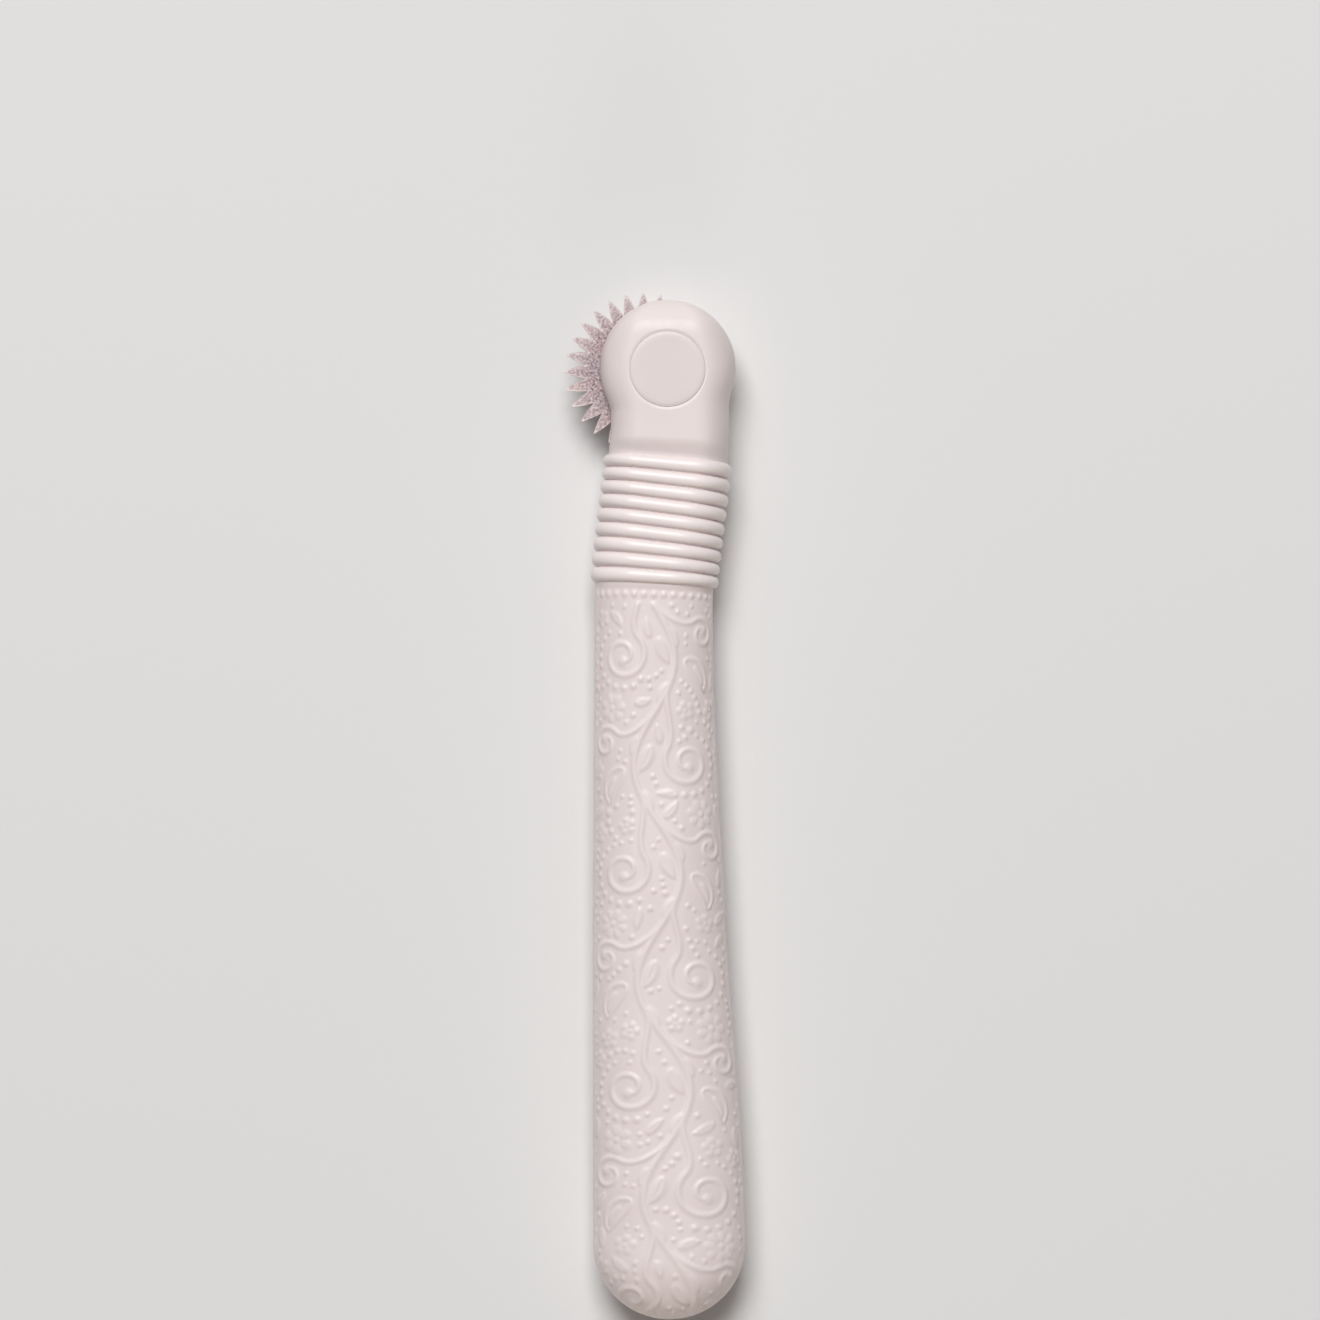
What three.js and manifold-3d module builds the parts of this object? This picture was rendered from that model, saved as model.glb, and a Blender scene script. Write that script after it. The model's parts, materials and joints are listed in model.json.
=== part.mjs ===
// A hand-held marking wheel: a toothed steel wheel that spins in the slotted head of a two-shell handle.
// Millimetres, +Z up. The tool lies on its rear cheek with the head towards +Y.
// The origin is under the centre of the caps, level with the axle, on the plane that the tool rests on.
import * as THREE from "three";
import { mergeVertices } from "three/addons/utils/BufferGeometryUtils.js";
import Module from "manifold-3d";

const wasm = await Module();
wasm.setup();

// Head: a round boss with a flat cheek on each side
const HEAD_RADIUS = 9.35;
const HEAD_THICKNESS = 12.8;
const HEAD_FILLET = 0.9;

// Stations along the handle, as distances from the centre of the head
const CHEEK_AT = 10;
const NECK_AT = 7.4;
const GRIP_AT = 12.5;
const WAIST_AT = 33;
const BELLY_AT = 76;
const TAIL_AT = 119.9;
const TAIL_ROUND = 10.3;

// Widths of the handle across the wheel's plane, and thicknesses along the wheel's axis
const NECK_WIDTH = 16.3;
const WAIST_WIDTH = 16.2;
const BELLY_WIDTH = 18.2;
const TAIL_WIDTH = 20.8;
const NECK_THICKNESS = 11.4;
const WAIST_THICKNESS = 11.2;
const BELLY_THICKNESS = 12.2;
const TAIL_THICKNESS = 13;

// The handle is bowed: sideways offsets of its centre line at the stations
const NECK_OFFSET = 0.3;
const WAIST_OFFSET = -1.9;
const BELLY_OFFSET = -1.1;
const TAIL_OFFSET = 0.25;

// The share of the cross-section that is flat before it bends down to the edges, and the blend between them
const HEAD_FLATNESS = 0.5;
const WAIST_FLATNESS = 0.2;
const TAIL_FLATNESS = 0.2;
const FLATNESS_BLEND = 0.2;

// Finger grip: half-round ridges around the neck
const RIDGE_COUNT = 9;
const RIDGE_PITCH = 1.93;
const RIDGE_GAP = 0.12;
const RIDGE_HEIGHT = 0.7;

// Shell walls and the features inside
const WALL = 2;
const RIB_THICKNESS = 1.2;
const RIB_COUNT = 4;
const RIB_GAP = 0.3;
const DOWEL_RADIUS = 1.1;
const DOWEL_LENGTH = 3;
const DOWEL_BOSS_WALL = 1.3;
const DOWEL_CLEARANCE = 0.3;

// Marking wheel
const WHEEL_RADIUS = 10.9;
const TOOTH_COUNT = 28;
const TOOTH_HEIGHT = 2.8;
const TOOTH_TIP = 0.14;
const WHEEL_THICKNESS = 1;
const WHEEL_SIDE_CLEARANCE = 0.7;
const WHEEL_RIM_CLEARANCE = 0.5;
const FINGER_WALL = 1.25; // what the wheel's slot leaves of the head on the side away from the teeth

// Axle and what runs on it
const AXLE_DROP = 0.55; // from the centre of the head towards the handle
const AXLE_RADIUS = 1.5;
const AXLE_CHAMFER = 0.25;
const AXLE_BOSS_WALL = 1.3;
const AXLE_END_CLEARANCE = 0.2;
const RUNNING_CLEARANCE = 0.08;
const SEAT_CLEARANCE = 0.05;
const BUSH_WALL = 1;
const BUSH_STANDOUT = 0.5;
const WASHER_WIDTH = 1.6;
const WASHER_THICKNESS = 0.5;
const END_FLOAT = 0.1;

// Round caps let into the cheeks, level with the axle
const CAP_RADIUS = 5.14;
const CAP_SEAT_DEPTH = 1;
const CAP_SEAT_FLOOR = 1;
const CAP_SEAT_RIM = 0.8;
const CAP_PROUD = 0.1;
const CAP_GAP = 0.3;
const CAP_EDGE = 0.2;

// Facets: steps round a section, and rings along each stretch of the handle
const ARC_STEPS = 14;
const CAVITY_STEPS = 16;
const ROUND_STEPS = 24;
const DISC_STEPS = 48;
const END_RINGS = 7;
const NECK_RINGS = 9;
const BODY_RINGS = 12;
const RIDGE_RINGS = [0.03, 0.14, 0.5, 0.86, 0.97]; // shares of one ridge's pitch
const CAVITY_END_RINGS = 4;
const CAVITY_NECK_RINGS = 3;
const CAVITY_BODY_RINGS = 13;

// Sizes that follow from those above
const HANDLE_END = TAIL_AT + TAIL_ROUND;
const GRIP_END = GRIP_AT + RIDGE_COUNT * RIDGE_PITCH;
const DOWEL_PLACES = [(GRIP_AT + GRIP_END) / 2, (WAIST_AT + BELLY_AT) / 2, (BELLY_AT + TAIL_AT) / 2];
const SLOT_RADIUS = WHEEL_RADIUS + WHEEL_RIM_CLEARANCE;
const SLOT_WIDTH = WHEEL_THICKNESS + 2 * WHEEL_SIDE_CLEARANCE;
const CAP_THICKNESS = CAP_SEAT_DEPTH + CAP_PROUD;
const CAP_SEAT_AT = HEAD_THICKNESS / 2 - CAP_SEAT_DEPTH;
const CAP_SEAT_RADIUS = CAP_RADIUS + CAP_GAP;
const AXLE_X = HEAD_RADIUS - FINGER_WALL - SLOT_RADIUS;
const AXLE_SEAT_END = CAP_SEAT_AT - CAP_SEAT_FLOOR;
const AXLE_LENGTH = 2 * (AXLE_SEAT_END - AXLE_END_CLEARANCE);
const BUSH_LENGTH = WHEEL_THICKNESS + 2 * BUSH_STANDOUT;
const WASHER_AT = BUSH_LENGTH / 2 + END_FLOAT;
const AXLE_BOSS_AT = WASHER_AT + WASHER_THICKNESS + END_FLOAT;
const BUSH_BORE = AXLE_RADIUS + RUNNING_CLEARANCE;
const BUSH_RADIUS = BUSH_BORE + BUSH_WALL;
const AXLE_SEAT_RADIUS = AXLE_RADIUS + SEAT_CLEARANCE;
const PAST = 1; // how far a cutting tool runs past the face that it opens

// The joint plane between the two shells lies half of the thickest place above the surface under the tool
const MID_HEIGHT = Math.max(
  HEAD_THICKNESS / 2 + CAP_PROUD,
  NECK_THICKNESS / 2 + RIDGE_HEIGHT,
  BELLY_THICKNESS / 2,
  TAIL_THICKNESS / 2,
);

const PLASTIC = { color: 0xe0d5d2, roughness: 0.45, metalness: 0 };
const STEEL = { color: 0xb2a6a8, roughness: 0.35, metalness: 1 };
const BRASS = { color: 0xb89a5a, roughness: 0.35, metalness: 1 };

// Solids for joining and cutting
function solidOf(geometry) {
  const bare = geometry.clone();
  bare.deleteAttribute("normal");
  bare.deleteAttribute("uv");
  const merged = mergeVertices(bare, 1e-4);
  return new wasm.Manifold(
    new wasm.Mesh({
      numProp: 3,
      vertProperties: merged.attributes.position.array,
      triVerts: new Uint32Array(merged.index.array),
    }),
  );
}

function geometryOf(solid) {
  const mesh = solid.getMesh();
  return new THREE.BufferGeometry()
    .setAttribute("position", new THREE.BufferAttribute(mesh.vertProperties, 3))
    .setIndex(new THREE.BufferAttribute(mesh.triVerts, 1));
}

// A cylinder along Z from one height to another
function rod(radius, from, to, steps = ROUND_STEPS) {
  return new THREE.CylinderGeometry(radius, radius, to - from, steps)
    .rotateX(Math.PI / 2)
    .translate(0, 0, (from + to) / 2);
}

// A ring along Z from one height to another
function ring(inner, outer, from, to, steps = ROUND_STEPS) {
  const profile = [
    new THREE.Vector2(inner, from),
    new THREE.Vector2(outer, from),
    new THREE.Vector2(outer, to),
    new THREE.Vector2(inner, to),
    new THREE.Vector2(inner, from),
  ];
  return new THREE.LatheGeometry(profile, steps).rotateX(Math.PI / 2);
}

// A curve through [place, value] knots that never overshoots them (Fritsch and Carlson's slopes)
function curveThrough(knots) {
  const rise = (i) => (knots[i + 1][1] - knots[i][1]) / (knots[i + 1][0] - knots[i][0]);
  const slope = (i) => {
    if (i === 0 || i === knots.length - 1) return 0;
    const before = rise(i - 1);
    const after = rise(i);
    return before * after > 0 ? (2 * before * after) / (before + after) : 0;
  };
  return (at) => {
    const last = knots.length - 2;
    const found = knots.findIndex((knot, i) => i <= last && at <= knots[i + 1][0]);
    const i = found < 0 ? last : found;
    const span = knots[i + 1][0] - knots[i][0];
    const t = THREE.MathUtils.clamp((at - knots[i][0]) / span, 0, 1);
    const start = (1 + 2 * t) * (1 - t) ** 2 * knots[i][1] + t * (1 - t) ** 2 * span * slope(i);
    const end = t * t * (3 - 2 * t) * knots[i + 1][1] - t * t * (1 - t) * span * slope(i + 1);
    return start + end;
  };
}

// The larger of two values, with a fillet where they cross
function largerWithFillet(a, b, fillet) {
  const share = THREE.MathUtils.clamp(0.5 + (a - b) / (2 * fillet), 0, 1);
  return b + (a - b) * share + fillet * share * (1 - share);
}

const bodyWidth = curveThrough([
  [NECK_AT, NECK_WIDTH],
  [WAIST_AT, WAIST_WIDTH],
  [BELLY_AT, BELLY_WIDTH],
  [TAIL_AT, TAIL_WIDTH],
]);
const bodyThickness = curveThrough([
  [CHEEK_AT, HEAD_THICKNESS],
  [GRIP_AT, NECK_THICKNESS],
  [WAIST_AT, WAIST_THICKNESS],
  [BELLY_AT, BELLY_THICKNESS],
  [TAIL_AT, TAIL_THICKNESS],
]);
const flatness = curveThrough([
  [NECK_AT, HEAD_FLATNESS],
  [WAIST_AT, WAIST_FLATNESS],
  [TAIL_AT, TAIL_FLATNESS],
]);
const centreOffset = curveThrough([
  [0, 0],
  [NECK_AT, NECK_OFFSET],
  [WAIST_AT, WAIST_OFFSET],
  [BELLY_AT, BELLY_OFFSET],
  [TAIL_AT, TAIL_OFFSET],
]);

// How far the grip's ridges stand above the body at a place along it
function ridgeRise(at) {
  if (at < GRIP_AT || at > GRIP_END) return 0;
  const along = ((at - GRIP_AT) / RIDGE_PITCH) % 1;
  const across = ((2 * along - 1) * RIDGE_PITCH) / (RIDGE_PITCH - RIDGE_GAP);
  return RIDGE_HEIGHT * Math.sqrt(Math.max(0, 1 - across * across));
}

// The height of a round arch at a share of its half span
function arch(share) {
  return Math.sqrt(Math.max(0, 1 - share * share));
}

// The height of an outline that is flat in the middle and bends down to its ends
function roundOff(share, flat) {
  const past = largerWithFillet(Math.abs(share) - flat, 0, FLATNESS_BLEND);
  return arch(past / (1 - flat));
}

// Half width, half thickness and flatness of the handle at a place, taken in by a wall
function section(at, inset) {
  const head = HEAD_RADIUS - inset;
  const flat = flatness(at);
  const headHalf = head * arch(at / head);
  const bodyHalf = bodyWidth(at) / 2 - inset;
  const thickHalf = bodyThickness(at) / 2 - inset;
  if (at < 0) {
    return { half: headHalf, thick: thickHalf * roundOff(at / head, flat), flat };
  }
  const tail = Math.max(0, at - TAIL_AT) / (TAIL_ROUND - inset);
  const half = largerWithFillet(headHalf, bodyHalf, HEAD_FILLET) * arch(tail);
  return { half, thick: thickHalf * roundOff(tail, flat), flat };
}

// A point on the handle's centre line, and the sideways direction there
function centreLine(at) {
  const step = 0.01;
  const lean = Math.atan2(centreOffset(at + step) - centreOffset(at - step), 2 * step);
  return {
    point: new THREE.Vector3(centreOffset(at), -at, 0),
    sideways: new THREE.Vector3(Math.cos(lean), Math.sin(lean), 0),
  };
}

// One cross-section as a closed ring of points, over part of a turn
function sectionRing(at, { half, thick, flat }, turn, steps) {
  const { point, sideways } = centreLine(at);
  const count = turn < 2 * Math.PI ? steps + 1 : steps;
  return Array.from({ length: count }, (_, i) => {
    const angle = (turn * i) / steps;
    const across = Math.cos(angle);
    const height = Math.sign(Math.sin(angle)) * thick * roundOff(across, flat);
    return point.clone().addScaledVector(sideways, half * across).setZ(height);
  });
}

// A solid skinned over closed rings between two end points
function skin(first, rings, last) {
  const positions = [first, ...rings.flat(), last].flatMap((p) => [p.x, p.y, p.z]);
  const size = rings[0].length;
  const tip = 1 + rings.length * size;
  const index = [];
  for (let i = 0; i < size; i += 1) {
    const next = (i + 1) % size;
    index.push(0, 1 + next, 1 + i);
    for (let r = 0; r < rings.length - 1; r += 1) {
      const a = 1 + r * size;
      const b = a + size;
      index.push(a + i, a + next, b + i, a + next, b + next, b + i);
    }
    const end = tip - size;
    index.push(end + i, end + next, tip);
  }
  return new THREE.BufferGeometry()
    .setAttribute("position", new THREE.Float32BufferAttribute(positions, 3))
    .setIndex(index);
}

// Places between two ends, closer together towards a rounded end
function places(from, to, count, ease = (t) => t) {
  return Array.from({ length: count }, (_, i) => from + (to - from) * ease((i + 1) / (count + 1)));
}
const slowStart = (t) => 1 - Math.cos((t * Math.PI) / 2);
const slowEnd = (t) => Math.sin((t * Math.PI) / 2);

// The places where the outside of the shell is cut into rings
function outerPlaces() {
  const ridges = Array.from({ length: RIDGE_COUNT }, (_, i) =>
    RIDGE_RINGS.map((share) => GRIP_AT + (i + share) * RIDGE_PITCH),
  ).flat();
  return [
    ...places(-HEAD_RADIUS, 0, END_RINGS, slowStart),
    ...places(0, GRIP_AT, NECK_RINGS),
    ...ridges,
    ...places(GRIP_END, TAIL_AT, BODY_RINGS),
    ...places(TAIL_AT, HANDLE_END, END_RINGS, slowEnd),
  ];
}

// The outside of one half of the handle, flat on the joint plane at z = 0
function outerHalf() {
  const rings = outerPlaces().map((at) => {
    const size = section(at, -ridgeRise(at));
    return sectionRing(at, size, Math.PI, ARC_STEPS);
  });
  return skin(centreLine(-HEAD_RADIUS).point, rings, centreLine(HANDLE_END).point);
}

// The whole handle without its ridges, taken in all round
function takenIn(inset) {
  const from = inset - HEAD_RADIUS;
  const to = HANDLE_END - inset;
  const cuts = [
    ...places(from, 0, CAVITY_END_RINGS, slowStart),
    0,
    ...places(0, GRIP_AT, CAVITY_NECK_RINGS),
    ...places(GRIP_AT, TAIL_AT, CAVITY_BODY_RINGS),
    ...places(TAIL_AT, to, CAVITY_END_RINGS, slowEnd),
  ];
  const rings = cuts.map((at) => sectionRing(at, section(at, inset), 2 * Math.PI, CAVITY_STEPS));
  return skin(centreLine(from).point, rings, centreLine(to).point);
}

// One half of the handle: a hollow shell with ribs, an axle boss, dowels or their sockets, and the wheel's slot
function halfShell(hasDowels) {
  const outside = solidOf(outerHalf());
  const top = MID_HEIGHT; // no shell is higher than this above the joint plane
  const bossRadius = DOWEL_RADIUS + DOWEL_CLEARANCE + DOWEL_BOSS_WALL;
  const onCentre = (geometry, at) => solidOf(geometry.translate(centreOffset(at), -at, 0));
  const onAxle = (geometry) => solidOf(geometry.translate(AXLE_X, -AXLE_DROP, 0));
  const underCap = (geometry) => solidOf(geometry.translate(0, -AXLE_DROP, 0));

  const capFloor = rod(CAP_SEAT_RADIUS + CAP_SEAT_RIM, AXLE_SEAT_END, top, DISC_STEPS);
  const axleBoss = rod(AXLE_SEAT_RADIUS + AXLE_BOSS_WALL, AXLE_BOSS_AT, top);
  let inner = underCap(capFloor).add(onAxle(axleBoss));
  for (const at of places(WAIST_AT, TAIL_AT, RIB_COUNT)) {
    const rib = new THREE.BoxGeometry(2 * TAIL_WIDTH, RIB_THICKNESS, top);
    inner = inner.add(onCentre(rib.translate(0, 0, top / 2 + RIB_GAP), at));
  }
  for (const at of DOWEL_PLACES) inner = inner.add(onCentre(rod(bossRadius, 0, top), at));

  const insideWall = solidOf(takenIn(WALL / 2));
  let shell = outside.subtract(solidOf(takenIn(WALL))).add(inner.intersect(insideWall));
  shell = shell.subtract(onAxle(rod(SLOT_RADIUS, -PAST, SLOT_WIDTH / 2, DISC_STEPS)));
  shell = shell.subtract(onAxle(rod(AXLE_SEAT_RADIUS, 0, AXLE_SEAT_END)));
  shell = shell.subtract(underCap(rod(CAP_SEAT_RADIUS, CAP_SEAT_AT, top + PAST, DISC_STEPS)));
  for (const at of DOWEL_PLACES) {
    const socket = rod(DOWEL_RADIUS + DOWEL_CLEARANCE, -PAST, DOWEL_LENGTH + DOWEL_CLEARANCE);
    const dowel = rod(DOWEL_RADIUS, -DOWEL_LENGTH, PAST);
    shell = hasDowels ? shell.add(onCentre(dowel, at)) : shell.subtract(onCentre(socket, at));
  }
  return geometryOf(shell);
}

// The toothed disc, its axis on Z, with one tooth pointing along -X
function markingWheel() {
  const root = WHEEL_RADIUS - TOOTH_HEIGHT;
  const halfTip = Math.asin(TOOTH_TIP / 2 / WHEEL_RADIUS);
  const halfPitch = Math.PI / TOOTH_COUNT;
  const at = (radius, angle) => new THREE.Vector2(-radius * Math.cos(angle), -radius * Math.sin(angle));
  const outline = [];
  for (let i = 0; i < TOOTH_COUNT; i += 1) {
    const angle = 2 * i * halfPitch;
    outline.push(at(WHEEL_RADIUS, angle - halfTip), at(WHEEL_RADIUS, angle + halfTip));
    outline.push(at(root, angle + halfPitch));
  }
  const disc = new THREE.Shape(outline);
  disc.holes.push(new THREE.Path().absarc(0, 0, BUSH_RADIUS + SEAT_CLEARANCE, 0, 2 * Math.PI, true));
  return new THREE.ExtrudeGeometry(disc, {
    depth: WHEEL_THICKNESS,
    bevelEnabled: false,
    curveSegments: ROUND_STEPS / 2,
  }).translate(0, 0, -WHEEL_THICKNESS / 2);
}

// A chamfered steel pin, centred on the joint plane
function axlePin() {
  const end = AXLE_LENGTH / 2;
  const profile = [
    new THREE.Vector2(0, -end),
    new THREE.Vector2(AXLE_RADIUS - AXLE_CHAMFER, -end),
    new THREE.Vector2(AXLE_RADIUS, AXLE_CHAMFER - end),
    new THREE.Vector2(AXLE_RADIUS, end - AXLE_CHAMFER),
    new THREE.Vector2(AXLE_RADIUS - AXLE_CHAMFER, end),
    new THREE.Vector2(0, end),
  ];
  return new THREE.LatheGeometry(profile, ROUND_STEPS).rotateX(Math.PI / 2);
}

// A flat disc with an eased outer edge, its back on z = 0
function roundCap() {
  const profile = [
    new THREE.Vector2(0, 0),
    new THREE.Vector2(CAP_RADIUS, 0),
    new THREE.Vector2(CAP_RADIUS, CAP_THICKNESS - CAP_EDGE),
    new THREE.Vector2(CAP_RADIUS - CAP_EDGE, CAP_THICKNESS),
    new THREE.Vector2(0, CAP_THICKNESS),
  ];
  return new THREE.LatheGeometry(profile, DISC_STEPS).rotateX(Math.PI / 2);
}

function node(name, geometry, finish) {
  const mesh = new THREE.Mesh(geometry, new THREE.MeshStandardMaterial(finish));
  mesh.name = name;
  return mesh;
}

// Each half holds a shell, a cap in its cheek and a washer on the axle. The rear half is the mirror image.
function handleHalf(side, hasDowels) {
  const half = new THREE.Group();
  const shell = node(`${side}_shell`, halfShell(hasDowels), PLASTIC);
  const cap = node(`${side}_cap`, roundCap(), PLASTIC);
  cap.position.set(0, -AXLE_DROP, CAP_SEAT_AT);
  const washerSize = [BUSH_BORE, BUSH_BORE + WASHER_WIDTH, 0, WASHER_THICKNESS];
  const washer = node(`${side}_washer`, ring(...washerSize), STEEL);
  washer.position.set(AXLE_X, -AXLE_DROP, WASHER_AT);
  half.add(shell, cap, washer);
  return half;
}

const axleLine = new THREE.Group();
axleLine.position.set(AXLE_X, -AXLE_DROP, 0);
axleLine.add(node("axle_pin", axlePin(), STEEL));
axleLine.add(node("marking_wheel", markingWheel(), STEEL));
const bush = ring(BUSH_BORE, BUSH_RADIUS, -BUSH_LENGTH / 2, BUSH_LENGTH / 2);
axleLine.add(node("wheel_bush", bush, BRASS));

const rearHalf = handleHalf("rear", false);
rearHalf.scale.z = -1;

const tool = new THREE.Group();
tool.position.set(0, AXLE_DROP, MID_HEIGHT);
tool.add(handleHalf("front", true), rearHalf, axleLine);

const part = new THREE.Group();
part.add(tool);

export default part;
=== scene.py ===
"""The looks of a hand-held marking wheel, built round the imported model.

Shapes are worked out in millimetres and become metres where a mesh is made. Along the handle, "at" is
the distance from the centre of the head, and heights are above the joint plane of the two shells.
"""
import json
import math

import bmesh
import bpy
import numpy as np
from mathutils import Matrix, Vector

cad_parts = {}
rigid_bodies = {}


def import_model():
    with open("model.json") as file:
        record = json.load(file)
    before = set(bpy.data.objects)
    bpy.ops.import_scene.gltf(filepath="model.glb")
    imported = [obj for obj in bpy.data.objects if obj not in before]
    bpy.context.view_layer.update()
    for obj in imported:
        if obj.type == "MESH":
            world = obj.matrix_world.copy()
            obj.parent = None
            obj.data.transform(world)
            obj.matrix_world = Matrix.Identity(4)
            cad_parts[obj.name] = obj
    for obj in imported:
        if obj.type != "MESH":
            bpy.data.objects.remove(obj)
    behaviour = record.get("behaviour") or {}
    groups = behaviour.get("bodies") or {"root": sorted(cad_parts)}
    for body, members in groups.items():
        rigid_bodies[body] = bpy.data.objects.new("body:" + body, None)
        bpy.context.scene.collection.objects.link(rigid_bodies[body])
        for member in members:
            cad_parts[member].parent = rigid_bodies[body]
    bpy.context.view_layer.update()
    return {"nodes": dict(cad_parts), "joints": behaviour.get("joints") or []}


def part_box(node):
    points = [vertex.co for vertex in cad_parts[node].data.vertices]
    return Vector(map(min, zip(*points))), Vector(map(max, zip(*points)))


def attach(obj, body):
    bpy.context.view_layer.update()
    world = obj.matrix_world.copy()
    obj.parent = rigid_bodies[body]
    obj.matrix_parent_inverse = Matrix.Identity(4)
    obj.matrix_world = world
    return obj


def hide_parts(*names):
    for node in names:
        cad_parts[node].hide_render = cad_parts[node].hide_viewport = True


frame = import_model()

MM = 0.001

# Lengths and areas below these count as none
LEAST_LENGTH = 0.001
LEAST_AREA = 1e-9

# Places and sizes that the frame gives
AXLE_X, AXLE_Y, MID_HEIGHT = (value / MM for value in frame["joints"][0]["pos_m"])
CAP_LOW, CAP_HIGH = (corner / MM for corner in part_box("front_cap"))
CAP_CENTRE = (CAP_LOW + CAP_HIGH) / 2
CAP_RADIUS = (CAP_HIGH.x - CAP_LOW.x) / 2
CAP_SEAT_AT = CAP_LOW.z - MID_HEIGHT
CAP_TOP = CAP_HIGH.z - MID_HEIGHT
WHEEL_LOW, WHEEL_HIGH = (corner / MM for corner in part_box("marking_wheel"))
WHEEL_RADIUS = (WHEEL_HIGH.y - WHEEL_LOW.y) / 2
WHEEL_THICKNESS = WHEEL_HIGH.z - WHEEL_LOW.z
BUSH_LOW, BUSH_HIGH = (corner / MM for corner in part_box("wheel_bush"))
BUSH_RADIUS = (BUSH_HIGH.x - BUSH_LOW.x) / 2

# The handle's profile, as in the solids
AXLE_AT = 0.55
HEAD_Y = AXLE_Y + AXLE_AT
HEAD_RADIUS = 9.35
HEAD_THICKNESS = 12.8
HEAD_FILLET = 0.9
CHEEK_AT = 10
NECK_AT = 7.4
GRIP_AT = 12.5
WAIST_AT = 33
BELLY_AT = 76
TAIL_AT = 119.9
TAIL_ROUND = 10.3
NECK_WIDTH = 16.3
WAIST_WIDTH = 16.2
BELLY_WIDTH = 18.2
TAIL_WIDTH = 20.8
NECK_THICKNESS = 11.4
WAIST_THICKNESS = 11.2
BELLY_THICKNESS = 12.2
TAIL_THICKNESS = 13
NECK_OFFSET = 0.3
WAIST_OFFSET = -1.9
BELLY_OFFSET = -1.1
TAIL_OFFSET = 0.25
HEAD_FLATNESS = 0.5
WAIST_FLATNESS = 0.2
TAIL_FLATNESS = 0.2
FLATNESS_BLEND = 0.2
RIDGE_COUNT = 9
RIDGE_PITCH = 1.93
RIDGE_GAP = 0.12
RIDGE_HEIGHT = 0.7
GRIP_END = GRIP_AT + RIDGE_COUNT * RIDGE_PITCH
HANDLE_END = TAIL_AT + TAIL_ROUND

# The shell's wall, its rounded edges, the slot for the wheel and the groove where the cap meets its seat
SHELL_WALL = 2
SEAM_EDGE = 0.14
SLOT_RADIUS = 11.4
SLOT_HALF = 1.2
SLOT_END_ROUND = 0.6
SLOT_EDGE = 0.3
SEAT_GAP = 0.03
SEAT_RADIUS = CAP_RADIUS + SEAT_GAP
CAP_CHAMFER = 0.1
GROOVE_HALF = 0.5
GROOVE_DROP = 0.09
GROOVE_BEND = 1.5
CUTTER_RISE = 0.5

# The wheel's teeth, the paler band along their edges, which is partly wear of the plating and partly a
# painted highlight on the bevels, and the bore
TOOTH_COUNT = 28
TOOTH_HEIGHT = 2.8
TOOTH_TIP = 0.14
TOOTH_BEVEL = 0.11
TOOTH_WEAR_AND_GLINT = 0.14
WEAR_AND_GLINT_FADE = 0.06
WHEEL_RIM = 0.4
BORE_GAP = 0.05
WHEEL_BORE = BUSH_RADIUS + BORE_GAP
BORE_CHAMFER = 0.13

# How finely the meshes are divided
LEVEL_ROWS = 2
LIP_RISES = np.array((0.015, 0.05, 0.1, 0.17, 0.25))
HEAD_ROWS = 28
NECK_ROWS = 56
RIDGE_ROWS = 12
BODY_ROWS = 400
TAIL_ROWS = 52
ARC_SAMPLES = 721
EDGE_SHARES = np.array((0, 0.0016, 0.0034, 0.0056, 0.0085))
FACE_COLUMNS = 126
INNER_COLUMNS = 8
GROOVE_SHARES = (1, 0.85, 0.7, 0.55, 0.4, 0.2)
CAP_SHARES = (1, 0.9, 0.75, 0.5, 0.25, 0)
TOOTH_STEPS = 16
RING_STEPS = 192
FULL_TURN = np.linspace(0, 2 * math.pi, RING_STEPS, endpoint=False)

# Angles in degrees from which an edge is shaded sharp
SHELL_SHARP = 62
CAP_SHARP = 40
WHEEL_SHARP = 25

# The ornament: its depth, the smooth bands round it, its chart, its bays, its gaps and its row of beads
RELIEF_DEPTH = 0.19
SIDE_MARGIN = 0.9
SIDE_FADE = 1.4
TOP_FADE = 0.9
CHART_HALF = 11.5
CHART_LENGTH = 104
CHART_BORDER = 10.7
CHART_TOP = 2.4
BAY_LENGTH = 14.7
BAY_COUNT = 8
SCROLL_START = 0.5
SCROLL_FADE = 0.4
STEM_SWING = 3.0
STEM_HALF = 0.56
STEM_POINTS = 24
LEAF_STALK = 0.08
MOTIF_GAP = 0.22
BEAD_GAP = 0.3
BEAD_STEP = 1.22
BEAD_ROW_AT = 1.5
BEAD_ROW_HALF = 9.8
BEAD_ROW_COUNT = 15
BEAD_ROW_RADIUS = 0.52
ORNAMENT_SEED = 11

# The ornament's forms, as shares of a height, of a line's half width or of a flower's radius
MIDRIB_HALF = 0.32
MIDRIB_DEPTH = 0.55
RIM_AT = 0.66
RIM_SPREAD = 0.28
RIM_FADE = 0.3
PETAL_NOTCH = 0.36
PETAL_SEAM = 0.15
PETAL_ROOT = 0.6
EYE_RADIUS = 0.27
EYE_GAP = 0.25
EYE_FADE = 0.12
FLOWER_ROOM = 0.96
ROOT_WIDTH = 0.7
CURL_BEAD = 1.9
PAISLEY_CORE = 0.36
PAISLEY_CORE_POINTS = slice(4, -3)

# Exponents that bend the ornament's forms
LINE_BEND = 1.4
LEAF_BEND = 1.1
LEAF_LEAN = 0.75
LEAF_ROUND = 0.9
NOTCH_BEND = 0.6
SEAM_BEND = 0.5
PETAL_BEND = 5
DOME_BEND = 0.7

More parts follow.
